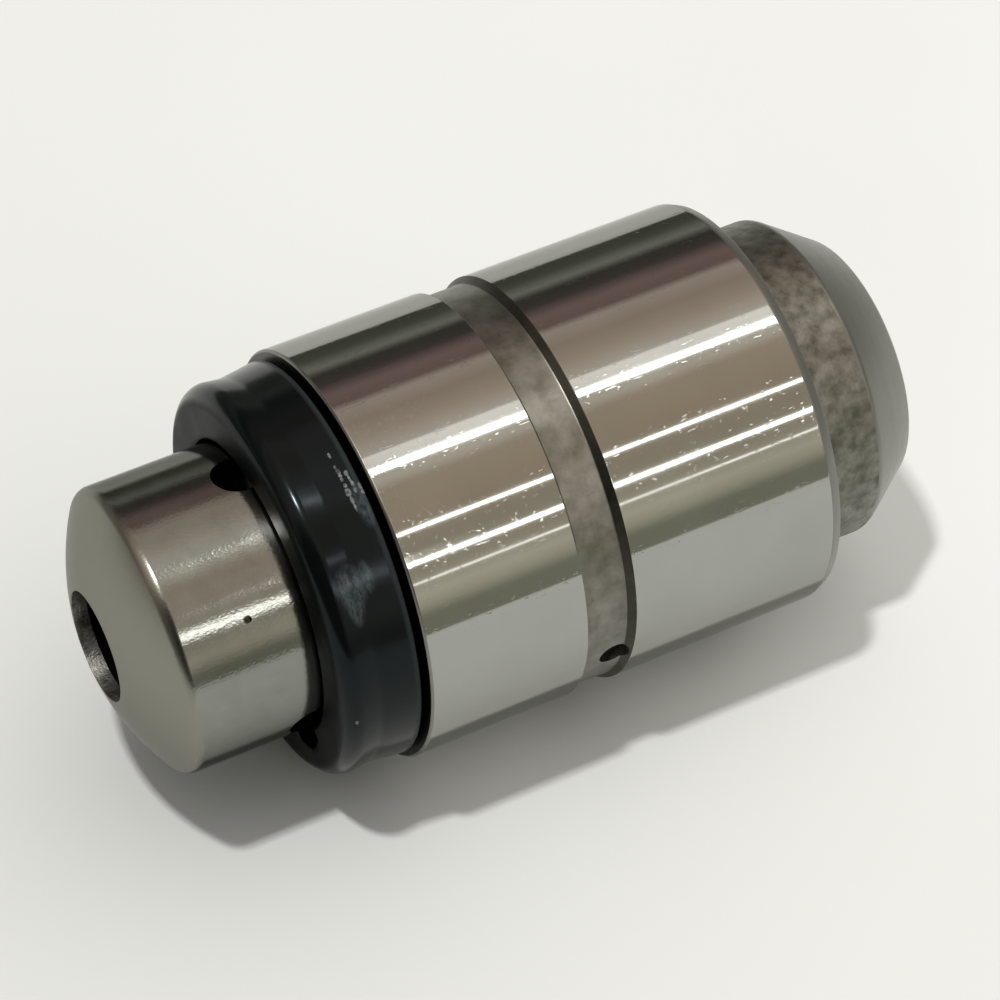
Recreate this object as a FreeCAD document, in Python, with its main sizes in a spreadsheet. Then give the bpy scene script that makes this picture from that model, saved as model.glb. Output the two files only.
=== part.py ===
"""Hydraulic valve lifter: a closed steel cup with an oil groove, a spring-loaded plunger with a ball check
valve inside it, and a pressed steel cap that keeps the plunger in.

The lifter stands on the flat end of its spigot.  Z runs up its axis, towards the domed plunger, and z = 0 is
the flat end.  All sizes are millimetres.
"""

import FreeCAD
import Part
import Sketcher

import math
import os

doc = FreeCAD.newDocument("ValveLifter")
sheet = doc.addObject("Spreadsheet::Sheet", "Sizes")


class Size:
    """A length that remembers the formula it came from, so that a feature can be bound to the sheet."""

    def __init__(self, value, formula):
        self.value = value
        self.formula = formula

    def combine(self, sign, other, value):
        formula = other.formula if isinstance(other, Size) else str(other)
        return Size(value, f"({self.formula} {sign} {formula})")

    def __add__(self, other):
        return self.combine("+", other, self.value + number(other))

    def __sub__(self, other):
        return self.combine("-", other, self.value - number(other))

    def __mul__(self, other):
        return self.combine("*", other, self.value * number(other))

    def __truediv__(self, other):
        return self.combine("/", other, self.value / number(other))

    def root(self):
        return Size(math.sqrt(self.value), f"sqrt({self.formula})")


def number(item):
    """The plain number of a Size or of a number."""
    return item.value if isinstance(item, Size) else item


def size(name, value):
    """Put one driving dimension in the sheet, under its own name."""
    row = size.rows
    sheet.set(f"A{row}", name)
    sheet.set(f"B{row}", str(value))
    sheet.setAlias(f"B{row}", name)
    size.rows = row + 1
    return Size(value, f"Sizes.{name}")


size.rows = 1

# Outside of the cup
body_radius = size("body_radius", 8.5)
spigot_radius = size("spigot_radius", 6.75)
spigot_end_radius = size("spigot_end_radius", 5.05)
spigot_cone_height = size("spigot_cone_height", 2.4)
spigot_edge_rounding = size("spigot_edge_rounding", 0.45)
spigot_length = size("spigot_length", 5.25)
barrel_length = size("barrel_length", 18.05)
rear_chamfer_height = size("rear_chamfer_height", 0.4)
rear_chamfer_depth = size("rear_chamfer_depth", 0.16)
front_chamfer = size("front_chamfer", 0.08)

# Oil groove round the cup, with its feed hole
groove_setback = size("groove_setback", 9.25)
groove_width = size("groove_width", 2.1)
groove_depth = size("groove_depth", 0.25)
groove_rear_flank = size("groove_rear_flank", 0.3)
groove_front_flank = size("groove_front_flank", 0.08)
feed_hole_radius = size("feed_hole_radius", 0.62)
feed_hole_azimuth = size("feed_hole_azimuth", -60)

# Neck that carries the cap
neck_height = size("neck_height", 2.95)
neck_root_clearance = size("neck_root_clearance", 0.4)
neck_wall = size("neck_wall", 0.65)
neck_step_height = size("neck_step_height", 1.2)
neck_bead_height = size("neck_bead_height", 0.5)
neck_top_chamfer = size("neck_top_chamfer", 0.25)

# Bore of the cup
bore_floor_height = size("bore_floor_height", 6.8)
bore_corner = size("bore_corner", 0.5)
bore_mouth_clearance = size("bore_mouth_clearance", 0.1)

# Pressed retaining cap
cap_sheet = size("cap_sheet", 0.55)
cap_hole_clearance = size("cap_hole_clearance", 0.1)
cap_lip_rounding = size("cap_lip_rounding", 0.22)
cap_lip_depth = size("cap_lip_depth", 0.35)
cap_shoulder_rounding = size("cap_shoulder_rounding", 0.8)
cap_rim_inset = size("cap_rim_inset", 0.3)
cap_waist_inset = size("cap_waist_inset", 0.2)
cap_shoulder_flare = size("cap_shoulder_flare", 0.1)
cap_rim_gap = size("cap_rim_gap", 0.36)
cap_waist_height = size("cap_waist_height", 1.9)

# Plunger head
plunger_step = size("plunger_step", 0.7)
plunger_wall = size("plunger_wall", 1.6)
plunger_stand_out = size("plunger_stand_out", 7.0)
dome_radius = size("dome_radius", 10.3)
dome_edge_rounding = size("dome_edge_rounding", 0.6)
crown_hole_radius = size("crown_hole_radius", 2.28)
crown_wall = size("crown_wall", 1.05)
crown_hole_chamfer = size("crown_hole_chamfer", 0.4)
crown_roof_step = size("crown_roof_step", 0.82)
crown_cone_height = size("crown_cone_height", 2.0)
plunger_clearance = size("plunger_clearance", 0.02)
collar_length = size("collar_length", 6.3)
collar_chamfer = size("collar_chamfer", 0.2)
oil_hole_radius = size("oil_hole_radius", 1.0)
oil_hole_height = size("oil_hole_height", 0.15)
oil_hole_azimuth = size("oil_hole_azimuth", 51.4)
oil_hole_count = 3

# Plunger barrel with the valve seat
barrel_piece_length = size("barrel_piece_length", 8.4)
collector_height = size("collector_height", 3.2)
collector_width = size("collector_width", 4.1)
collector_depth = size("collector_depth", 0.5)
collector_hole_radius = size("collector_hole_radius", 0.8)
collector_hole_count = 4
seat_recess_wall = size("seat_recess_wall", 1.68)
seat_recess_depth = size("seat_recess_depth", 1.9)
seat_mouth_radius = size("seat_mouth_radius", 1.4)
seat_cone_height = size("seat_cone_height", 0.5)
seat_hole_radius = size("seat_hole_radius", 0.9)
seat_wall = size("seat_wall", 1.2)

# Check valve
ball_radius = size("ball_radius", 1.5)
cage_sheet = size("cage_sheet", 0.3)
cage_ball_clearance = size("cage_ball_clearance", 0.25)
cage_flange_clearance = size("cage_flange_clearance", 0.05)
cage_spring_room = size("cage_spring_room", 0.7)
cage_window_width = size("cage_window_width", 1.2)
cage_window_height = size("cage_window_height", 1.1)
cage_window_count = 4
valve_spring_wire = size("valve_spring_wire", 0.15)
valve_spring_radius = size("valve_spring_radius", 0.85)
valve_spring_turns = size("valve_spring_turns", 3)

# Return spring
return_spring_wire = size("return_spring_wire", 0.7)
return_spring_clearance = size("return_spring_clearance", 0.35)
return_spring_turns = size("return_spring_turns", 4)
ground_end = size("ground_end", 0.35)

# Radii that follow from one another, from the outside of the cup inwards
cap_rim_radius = body_radius - cap_rim_inset
cap_waist_radius = cap_rim_radius - cap_waist_inset
cap_shoulder_radius = cap_waist_radius + cap_shoulder_flare
neck_root_radius = cap_rim_radius - cap_sheet - neck_root_clearance
bore_radius = neck_root_radius - neck_wall
collar_radius = bore_radius - plunger_clearance
plunger_radius = bore_radius - plunger_step
reservoir_radius = plunger_radius - plunger_wall
cap_hole_radius = plunger_radius + cap_hole_clearance
cap_lip_radius = cap_hole_radius + cap_sheet
seat_recess_radius = collar_radius - seat_recess_wall
return_spring_radius = seat_recess_radius - return_spring_clearance - return_spring_wire / 2

# The mouth of the bore is chamfered at 45 degrees, clear of the cap's lip
bore_mouth_chamfer = cap_lip_radius + bore_mouth_clearance - bore_radius + cap_lip_depth

# Heights that several pieces share
front_shoulder_height = spigot_length + barrel_length
groove_height = spigot_length + groove_setback
neck_top_height = front_shoulder_height + neck_height
cap_face_height = neck_top_height + cap_sheet
cap_lip_height = neck_top_height - cap_lip_depth
dome_top_height = cap_face_height + plunger_stand_out
dome_centre_height = dome_top_height - dome_radius
joint_height = cap_lip_height - collar_length
barrel_foot_height = joint_height - barrel_piece_length
seat_face_height = barrel_foot_height + seat_recess_depth
seat_throat_height = seat_face_height + seat_cone_height
reservoir_floor_height = seat_throat_height + seat_wall
feed_hole_height = groove_height + groove_rear_flank + feed_hole_radius * 0.6

# The ball sits on the 45 degree seat cone, so its centre lies on the normal through the contact
diagonal = Size(2.0, "2").root()
seat_contact_radius = ball_radius / diagonal
ball_centre_height = seat_face_height + seat_mouth_radius - seat_contact_radius - seat_contact_radius
cage_floor_height = ball_centre_height - ball_radius - cage_spring_room
cage_inner_radius = ball_radius + cage_ball_clearance


def new_body(label):
    """Start a body that carries the label as its node's name."""
    body = doc.addObject("PartDesign::Body", label)
    body.Label = label
    body.Placement = FreeCAD.Placement()
    return body


def origin_part(body, role):
    """One of the body's own origin planes or axes."""
    return next(item for item in body.Origin.OriginFeatures if item.Role == role)


def new_sketch(body, name, azimuth=None):
    """A sketch through the axis: x is the radius, y the height, and it faces the given azimuth."""
    sketch = body.newObject("Sketcher::SketchObject", name)
    sketch.AttachmentSupport = (origin_part(body, "XZ_Plane"), [""])
    sketch.MapMode = "FlatFace"
    if azimuth is not None:
        turn = FreeCAD.Rotation(FreeCAD.Vector(0, 1, 0), azimuth.value)
        sketch.AttachmentOffset = FreeCAD.Placement(FreeCAD.Vector(0, 0, 0), turn)
        sketch.setExpression("AttachmentOffset.Rotation.Angle", f"{azimuth.formula} * 1 deg")
    return sketch


def bind_point(sketch, geometry, point, x, y):
    """Tie one point of the sketch to its radius and height."""
    for direction, axis, length in (("DistanceX", -2, x), ("DistanceY", -1, y)):
        if number(length) == 0:
            sketch.addConstraint(Sketcher.Constraint("PointOnObject", geometry, point, axis))
            continue
        rule = Sketcher.Constraint(direction, -1, 1, geometry, point, number(length))
        index = sketch.addConstraint(rule)
        if isinstance(length, Size):
            sketch.setExpression(f"Constraints[{index}]", length.formula)


def arc_between(start, end, radius, turn):
    """The shorter arc from start to end; a left turn runs anticlockwise."""
    chord = end - start
    middle = (start + end) * 0.5
    side = FreeCAD.Vector(-chord.y, chord.x, 0).normalize()
    reach = math.sqrt(radius ** 2 - (chord.Length / 2) ** 2)
    centre = middle + side * (reach if turn == "left" else -reach)
    first, last = (start, end) if turn == "left" else (end, start)
    angles = [math.atan2(point.y - centre.y, point.x - centre.x) for point in (first, last)]
    if angles[1] < angles[0]:
        angles[1] += 2 * math.pi
    circle = Part.Circle(centre, FreeCAD.Vector(0, 0, 1), radius)
    return Part.ArcOfCircle(circle, angles[0], angles[1])


def draw_outline(sketch, corners):
    """Draw a closed outline.  A corner is (radius, height), and (radius, height, rounding, turn) where an
    arc leads on to the next corner."""
    points = [FreeCAD.Vector(number(corner[0]), number(corner[1]), 0) for corner in corners]
    ends = []
    for index, corner in enumerate(corners):
        start = points[index]
        end = points[(index + 1) % len(points)]
        if len(corner) == 2:
            geometry = sketch.addGeometry(Part.LineSegment(start, end), False)
            ends.append((geometry, 1, 2))
            continue
        rounding, turn = corner[2:]
        geometry = sketch.addGeometry(arc_between(start, end, rounding.value, turn), False)
        ends.append((geometry, 1, 2) if turn == "left" else (geometry, 2, 1))
        radius = sketch.addConstraint(Sketcher.Constraint("Radius", geometry, rounding.value))
        sketch.setExpression(f"Constraints[{radius}]", rounding.formula)
    for index, (geometry, first, last) in enumerate(ends):
        following, following_first, _ = ends[(index + 1) % len(ends)]
        joined = Sketcher.Constraint("Coincident", geometry, last, following, following_first)
        sketch.addConstraint(joined)
        bind_point(sketch, geometry, first, corners[index][0], corners[index][1])


def turned(body, name, corners, kind="Revolution"):
    """Turn an outline about the axis, adding a Revolution or cutting a Groove."""
    sketch = new_sketch(body, f"{name}_outline")
    draw_outline(sketch, corners)
    feature = body.newObject(f"PartDesign::{kind}", name)
    feature.Profile = sketch
    feature.ReferenceAxis = (sketch, ["V_Axis"])
    feature.Angle = 360
    doc.recompute()
    return feature


def rounded(body, name, feature, places, rounding):
    """Round the circular edges that lie at the given (radius, height) places."""
    names = []
    for index, edge in enumerate(feature.Shape.Edges, start=1):
        centre = getattr(edge.Curve, "Center", None)
        for radius, height in places:
            if centre is not None and math.isclose(edge.Curve.Radius, number(radius), abs_tol=1e-4) \
                    and math.isclose(centre.z, number(height), abs_tol=1e-4):
                names.append(f"Edge{index}")
    fillet = body.newObject("PartDesign::Fillet", name)
    fillet.Base = (feature, names)
    fillet.Radius = rounding.value
    fillet.setExpression("Radius", rounding.formula)
    doc.recompute()
    return fillet


def drilled(body, name, azimuth, height, radius, reach, count=1):
    """Drill from the axis outwards at the azimuth, and repeat the hole evenly round the axis."""
    before = body.Shape.Volume
    sketch = new_sketch(body, f"{name}_circle", azimuth)
    start = FreeCAD.Vector(0, height.value, 0)
    circle = sketch.addGeometry(Part.Circle(start, FreeCAD.Vector(0, 0, 1), radius.value), False)
    bind_point(sketch, circle, 3, 0, height)
    index = sketch.addConstraint(Sketcher.Constraint("Radius", circle, radius.value))
    sketch.setExpression(f"Constraints[{index}]", radius.formula)
    hole = body.newObject("PartDesign::Pocket", name)
    hole.Profile = sketch
    hole.Reversed = True
    hole.Length = reach.value
    hole.setExpression("Length", reach.formula)
    doc.recompute()
    if count > 1:
        repeat_round(body, hole, count)
    if body.Shape.Volume >= before:
        raise RuntimeError(f"{name} cuts nothing")


def repeat_round(body, feature, count):
    """Repeat a cut evenly round the axis."""
    pattern = body.newObject("PartDesign::PolarPattern", f"{feature.Name}_round")
    pattern.Originals = [feature]
    pattern.Axis = (origin_part(body, "Z_Axis"), [""])
    pattern.Angle = 360
    pattern.Occurrences = count
    body.Tip = pattern
    doc.recompute()


def make_lifter_body():
    """The cup: ground outside, rough spigot behind, bored from the front, with the neck for the cap."""
    body = new_body("lifter_body")
    rear_edge_radius = body_radius - rear_chamfer_depth
    blank = turned(body, "blank", [
        (0, 0),
        (spigot_end_radius, 0),
        (spigot_radius, spigot_cone_height),
        (spigot_radius, spigot_length),
        (rear_edge_radius, spigot_length),
        (body_radius, spigot_length + rear_chamfer_height),
        (body_radius, front_shoulder_height - front_chamfer),
        (body_radius - front_chamfer, front_shoulder_height),
        (neck_root_radius, front_shoulder_height),
        (neck_root_radius, front_shoulder_height + neck_step_height),
        (cap_waist_radius - cap_sheet, front_shoulder_height + cap_waist_height),
        (cap_shoulder_radius - cap_sheet - neck_top_chamfer * 0.2, neck_top_height - neck_bead_height),
        (cap_shoulder_radius - cap_sheet - neck_top_chamfer, neck_top_height),
        (0, neck_top_height),
    ])
    places = [(spigot_radius, spigot_cone_height), (spigot_end_radius, Size(0, "0"))]
    rounded(body, "spigot_edges", blank, places, spigot_edge_rounding)
    turned(body, "bore", [
        (0, bore_floor_height),
        (bore_radius - bore_corner, bore_floor_height, bore_corner, "left"),
        (bore_radius, bore_floor_height + bore_corner),
        (bore_radius, neck_top_height - bore_mouth_chamfer),
        (bore_radius + bore_mouth_chamfer, neck_top_height),
        (bore_radius + bore_mouth_chamfer, neck_top_height + cap_sheet),
        (0, neck_top_height + cap_sheet),
    ], "Groove")
    outside = body_radius + groove_depth
    turned(body, "oil_groove", [
        (body_radius, groove_height),
        (body_radius - groove_depth, groove_height + groove_rear_flank),
        (body_radius - groove_depth, groove_height + groove_width - groove_front_flank),
        (body_radius, groove_height + groove_width),
        (outside, groove_height + groove_width),
        (outside, groove_height),
    ], "Groove")
    drilled(body, "feed_hole", feed_hole_azimuth, feed_hole_height, feed_hole_radius, outside)
    return body


def make_retaining_cap():
    """The pressed cap: flat face, lip turned in at the hole, round shoulder and a waisted, flared skirt."""
    body = new_body("retaining_cap")
    shoulder_foot = cap_face_height - cap_shoulder_rounding
    inner_rounding = cap_shoulder_rounding - cap_sheet
    rim_height = front_shoulder_height + cap_rim_gap
    waist_height = front_shoulder_height + cap_waist_height
    turned(body, "shell", [
        (cap_hole_radius, cap_lip_height),
        (cap_lip_radius, cap_lip_height),
        (cap_lip_radius, neck_top_height),
        (cap_shoulder_radius - cap_shoulder_rounding, neck_top_height, inner_rounding, "right"),
        (cap_shoulder_radius - cap_sheet, shoulder_foot),
        (cap_waist_radius - cap_sheet, waist_height),
        (cap_rim_radius - cap_sheet, rim_height),
        (cap_rim_radius, rim_height),
        (cap_waist_radius, waist_height),
        (cap_shoulder_radius, shoulder_foot, cap_shoulder_rounding, "left"),
        (cap_shoulder_radius - cap_shoulder_rounding, cap_face_height),
        (cap_hole_radius + cap_lip_rounding, cap_face_height, cap_lip_rounding, "left"),
        (cap_hole_radius, cap_face_height - cap_lip_rounding),
    ])
    return body


def make_plunger_head():
    """The plunger head: domed crown with its hole, slim neck through the cap, and the collar in the bore."""
    body = new_body("plunger_head")
    edge_centre_radius = plunger_radius - dome_edge_rounding
    centre_reach = dome_radius - dome_edge_rounding
    edge_height = (centre_reach * centre_reach - edge_centre_radius * edge_centre_radius).root()
    dome_scale = dome_radius / centre_reach
    hole_rim = (dome_radius * dome_radius - crown_hole_radius * crown_hole_radius).root()
    roof_height = dome_centre_height + hole_rim - crown_wall
    turned(body, "shell", [
        (reservoir_radius, joint_height),
        (collar_radius - collar_chamfer, joint_height),
        (collar_radius, joint_height + collar_chamfer),
        (collar_radius, cap_lip_height - collar_chamfer),
        (collar_radius - collar_chamfer, cap_lip_height),
        (plunger_radius, cap_lip_height),
        (plunger_radius, dome_centre_height + edge_height, dome_edge_rounding, "left"),
        (edge_centre_radius * dome_scale, dome_centre_height + edge_height * dome_scale, dome_radius, "left"),
        (crown_hole_radius, dome_centre_height + hole_rim),
        (crown_hole_radius, roof_height + crown_hole_chamfer),
        (crown_hole_radius + crown_hole_chamfer, roof_height),
        (crown_hole_radius + crown_roof_step, roof_height),
        (reservoir_radius, roof_height - crown_cone_height),
    ])
    height = cap_face_height + oil_hole_height
    drilled(body, "oil_hole", oil_hole_azimuth, height, oil_hole_radius, body_radius, oil_hole_count)
    return body


def make_plunger_barrel():
    """The lower half of the plunger: oil collector outside, reservoir inside, valve seat in its floor."""
    body = new_body("plunger_barrel")
    collector_floor = collar_radius - collector_depth
    collector_foot = barrel_foot_height + collector_height
    collector_top = collector_foot + collector_width
    turned(body, "shell", [
        (seat_recess_radius, barrel_foot_height),
        (collar_radius - collar_chamfer, barrel_foot_height),
        (collar_radius, barrel_foot_height + collar_chamfer),
        (collar_radius, collector_foot),
        (collector_floor, collector_foot),
        (collector_floor, collector_top),
        (collar_radius, collector_top),
        (collar_radius, joint_height - collar_chamfer),
        (collar_radius - collar_chamfer, joint_height),
        (reservoir_radius, joint_height),
        (reservoir_radius, reservoir_floor_height),
        (seat_hole_radius, reservoir_floor_height),
        (seat_hole_radius, seat_throat_height),
        (seat_mouth_radius, seat_face_height),
        (seat_recess_radius, seat_face_height),
    ])
    height = collector_foot + collector_width * 0.5
    drilled(body, "collector_hole", oil_hole_azimuth, height, collector_hole_radius, bore_radius,
            collector_hole_count)
    return body


def make_valve_cage():
    """The pressed cage: a flange under the seat and a windowed cup that holds the ball and its spring."""
    body = new_body("valve_cage")
    flange_radius = seat_recess_radius - cage_flange_clearance
    outer_radius = cage_inner_radius + cage_sheet
    flange_foot = seat_face_height - cage_sheet
    foot = cage_floor_height - cage_sheet
    turned(body, "shell", [
        (0, foot),
        (outer_radius - cage_sheet, foot, cage_sheet, "left"),
        (outer_radius, cage_floor_height),
        (outer_radius, flange_foot),
        (flange_radius, flange_foot),
        (flange_radius, seat_face_height),
        (cage_inner_radius, seat_face_height),
        (cage_inner_radius, cage_floor_height),
        (0, cage_floor_height),
    ])
    before = body.Shape.Volume
    sketch = new_sketch(body, "window_outline")
    low = flange_foot - cage_sheet - cage_window_height
    high = flange_foot - cage_sheet
    half = cage_window_width / 2
    places = [(half * -1, low), (half, low), (half, high), (half * -1, high)]
    draw_outline(sketch, places)
    window = body.newObject("PartDesign::Pocket", "window")
    window.Profile = sketch
    window.Reversed = True
    window.Length = outer_radius.value * 2
    window.setExpression("Length", (outer_radius * 2).formula)
    doc.recompute()
    repeat_round(body, window, cage_window_count)
    if body.Shape.Volume >= before:
        raise RuntimeError("window cuts nothing")
    return body


def make_check_ball():
    """The ball, on its seat."""
    ball = doc.addObject("Part::Sphere", "check_ball")
    ball.Label = "check_ball"
    ball.Radius = ball_radius.value
    ball.setExpression("Radius", ball_radius.formula)
    ball.setExpression("Placement.Base.z", ball_centre_height.formula)
    return ball


def make_spring(label, wire, coil_radius, foot, top, turns):
    """A helical compression spring whose end coils are ground flat at foot and top."""
    inset = wire * 0.5 * ground_end
    rise = top - foot - inset * 2
    helix = doc.addObject("Part::Helix", f"{label}_line")
    helix.Radius = coil_radius.value
    helix.Pitch = rise.value / turns.value
    helix.Height = rise.value
    helix.setExpression("Radius", coil_radius.formula)
    helix.setExpression("Pitch", (rise / turns).formula)
    helix.setExpression("Height", rise.formula)
    helix.setExpression("Placement.Base.z", (foot + inset).formula)
    section = doc.addObject("Part::Circle", f"{label}_section")
    section.Radius = wire.value / 2
    section.Placement.Rotation = FreeCAD.Rotation(FreeCAD.Vector(1, 0, 0), 90)
    section.setExpression("Radius", (wire / 2).formula)
    section.setExpression("Placement.Base.x", coil_radius.formula)
    section.setExpression("Placement.Base.z", (foot + inset).formula)
    coil = doc.addObject("Part::Sweep", f"{label}_coil")
    coil.Sections = [section]
    coil.Spine = (helix, [])
    coil.Solid = True
    coil.Frenet = True
    space = doc.addObject("Part::Cylinder", f"{label}_space")
    space.setExpression("Radius", (coil_radius + wire).formula)
    space.setExpression("Height", (top - foot).formula)
    space.setExpression("Placement.Base.z", foot.formula)
    spring = doc.addObject("Part::Common", label)
    spring.Base = coil
    spring.Tool = space
    spring.Label = label
    return spring


def make_valve_spring():
    """The light spring in the cage that holds the ball on its seat."""
    reach = ball_radius - valve_spring_wire * 0.5
    dip = (reach * reach - valve_spring_radius * valve_spring_radius).root()
    top = ball_centre_height - dip - valve_spring_wire
    return make_spring("valve_spring", valve_spring_wire, valve_spring_radius, cage_floor_height, top,
                       valve_spring_turns)


def make_return_spring():
    """The spring that pushes the plunger out, between the cup's floor and the cage's flange."""
    top = seat_face_height - cage_sheet
    return make_spring("return_spring", return_spring_wire, return_spring_radius, bore_floor_height, top,
                       return_spring_turns)


def main():
    doc.recompute()
    pieces = [
        make_lifter_body(),
        make_retaining_cap(),
        make_plunger_head(),
        make_plunger_barrel(),
        make_valve_cage(),
        make_check_ball(),
        make_valve_spring(),
        make_return_spring(),
    ]
    doc.recompute()
    for item in doc.Objects:
        if "Invalid" in item.State or "Error" in item.State:
            raise RuntimeError(f"{item.Label} did not build: {item.State}")
    for piece in pieces:
        if piece.Shape.isNull() or not piece.Shape.isValid():
            raise RuntimeError(f"{piece.Label} has no valid shape")
    os.makedirs("parts", exist_ok=True)
    for piece in pieces:
        piece.Shape.exportStep(f"parts/{piece.Label}.step")
        box = piece.Shape.BoundBox
        print(f"{piece.Label}: {piece.Shape.Volume:.2f} mm3, z {box.ZMin:.2f} to {box.ZMax:.2f}, "
              f"width {box.XLength:.2f}")


main()
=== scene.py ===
# %% [markdown]
# # A hydraulic valve lifter on a white table
#
# The lifter is a small steel cup with an oil groove round it.  A spring-loaded plunger with a domed crown
# stands out of its mouth, held in by a black pressed cap.  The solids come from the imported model, which
# stands upright on the flat end of the spigot, with Z along its axis.  This script dresses them: it turns
# finer pieces on the same sizes, gives them finishes, and lays a table against the lifter's side, so that
# the upright lifter looks as if it were lying down.

import math

import bmesh
import bpy
from mathutils import Matrix, Vector


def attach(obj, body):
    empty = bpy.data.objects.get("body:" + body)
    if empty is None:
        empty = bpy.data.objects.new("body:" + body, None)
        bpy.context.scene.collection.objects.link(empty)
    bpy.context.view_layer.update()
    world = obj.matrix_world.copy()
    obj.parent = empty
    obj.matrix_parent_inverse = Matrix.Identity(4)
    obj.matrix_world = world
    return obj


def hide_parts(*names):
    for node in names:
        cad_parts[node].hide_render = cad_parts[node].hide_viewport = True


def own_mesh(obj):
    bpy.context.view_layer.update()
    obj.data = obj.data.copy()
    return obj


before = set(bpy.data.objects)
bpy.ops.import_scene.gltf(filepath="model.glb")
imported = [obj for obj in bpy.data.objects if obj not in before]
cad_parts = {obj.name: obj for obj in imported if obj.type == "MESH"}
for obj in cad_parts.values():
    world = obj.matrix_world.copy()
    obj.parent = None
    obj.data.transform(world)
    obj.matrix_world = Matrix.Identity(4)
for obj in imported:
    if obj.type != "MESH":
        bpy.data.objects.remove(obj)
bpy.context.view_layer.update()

# %% [markdown]
# ## Small helpers
#
# Colours are written as sRGB hex values, as a paint chart gives them, and turned to the linear values that
# the shaders expect.  Node trees are built by one function that adds a node and sets its properties and
# its inputs.  An input is a plain value, a socket, or another node, which stands for its first output in
# use.

# %% Colours and nodes
MILLIMETRE = 0.001


def linear(code):
    """A colour such as #c0bdb6 as linear red, green, blue and alpha."""
    shares = [int(code[start:start + 2], 16) / 255 for start in (1, 3, 5)]
    return tuple(share / 12.92 if share <= 0.04045 else ((share + 0.055) / 1.055) ** 2.4
                 for share in shares) + (1.0,)


def add(tree, kind, inputs=None, **properties):
    """Add a node.  Inputs go by name or number; a node or socket is linked and anything else is set."""
    node = tree.nodes.new(kind)
    for name, value in properties.items():
        setattr(node, name, value)
    for key, value in (inputs or {}).items():
        if isinstance(value, bpy.types.Node):
            value = next(output for output in value.outputs if output.enabled)
        if isinstance(value, bpy.types.NodeSocket):
            tree.links.new(value, node.inputs[key])
        else:
            node.inputs[key].default_value = value
    return node


# %% [markdown]
# ## The camera
#
# The photograph was taken from the plunger's side, a little above the plane square to the axis, with the
# lifter running from lower left to upper right.  As the model stands upright, the camera is rolled to lay
# it down in the picture.  The lens is long, because the far end looks hardly smaller than the near one.

# %% Camera
CAMERA_AZIMUTH = math.radians(5.7)
CAMERA_ELEVATION = math.radians(18.448)
CAMERA_ROLL = math.radians(-111.14)
CAMERA_DISTANCE = 164.88 * MILLIMETRE
CAMERA_TARGET = Vector((-0.348, -0.035, 16.12)) * MILLIMETRE
LENS = 149.46
SENSOR_WIDTH = 36.0
NEAREST_SEEN = 0.01
FARTHEST_SEEN = 10.0


def direction(azimuth, elevation=0.0):
    """The unit vector towards an azimuth, counted from -Y towards +X, and an elevation."""
    return Vector((math.sin(azimuth) * math.cos(elevation), -math.cos(azimuth) * math.cos(elevation),
                   math.sin(elevation)))


back = direction(CAMERA_AZIMUTH, CAMERA_ELEVATION)
upright = back.to_track_quat("Z", "Y").to_matrix()
camera = bpy.data.objects.new("camera", bpy.data.cameras.new("camera"))
camera.matrix_world = Matrix.Translation(CAMERA_TARGET + back * CAMERA_DISTANCE) @ (
    Matrix.Rotation(CAMERA_ROLL, 3, back) @ upright).to_4x4()
camera.data.lens = LENS
camera.data.sensor_width = SENSOR_WIDTH
camera.data.clip_start = NEAREST_SEEN
camera.data.clip_end = FARTHEST_SEEN
bpy.context.collection.objects.link(camera)
scene = bpy.context.scene
scene.camera = camera
scene.view_settings.view_transform = "Standard"
print("camera at", tuple(round(1000 * value, 1) for value in camera.location), "mm")

# %% [markdown]
# ## The table
#
# The lifter lies with its ground side on a sheet of white paper.  In the model's frame that sheet is an
# upright plane that touches the body along one line.  It shows only from its front, so that a view from
# behind still sees the lifter.  The paper ends a hand's width in front of the lifter: its edge is the sharp
# step in the body's reflection.

# %% Table
BODY_RADIUS = 8.5
TABLE_AZIMUTH = math.radians(45)
SHEET_NEAR_EDGE = 86.0
SHEET_FAR_EDGE = 400.0
SHEET_HALF_LENGTH = 300.0

table_normal = direction(TABLE_AZIMUTH)
table_near = direction(TABLE_AZIMUTH - math.radians(90))
contact = table_normal * -BODY_RADIUS

table_mesh = bmesh.new()
corners = [(SHEET_NEAR_EDGE, -SHEET_HALF_LENGTH), (SHEET_NEAR_EDGE, SHEET_HALF_LENGTH),
           (-SHEET_FAR_EDGE, SHEET_HALF_LENGTH), (-SHEET_FAR_EDGE, -SHEET_HALF_LENGTH)]
sheet_face = table_mesh.faces.new([
    table_mesh.verts.new((contact + table_near * across + Vector((0, 0, along))) * MILLIMETRE)
    for across, along in corners])
sheet_face.normal_update()
if sheet_face.normal.dot(table_normal) < 0:
    sheet_face.normal_flip()
table_data = bpy.data.meshes.new("table")
table_mesh.to_mesh(table_data)
table_mesh.free()
table = bpy.data.objects.new("table", table_data)
bpy.context.collection.objects.link(table)
print("table:", len(table_data.polygons), "face")

# %% [markdown]
# ## White paper
#
# Uncoated paper scatters light evenly, so it needs only a diffuse shader.  It is a little cloudy, and a
# painted shade greys it slowly towards the plunger's end, where the viewer stands.  Its back is clear.

# %% Paper
PAPER_CLOUD = 30.0
PAPER_SHADE_START = -25.0
PAPER_SHADE_FULL = 45.0

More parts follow.
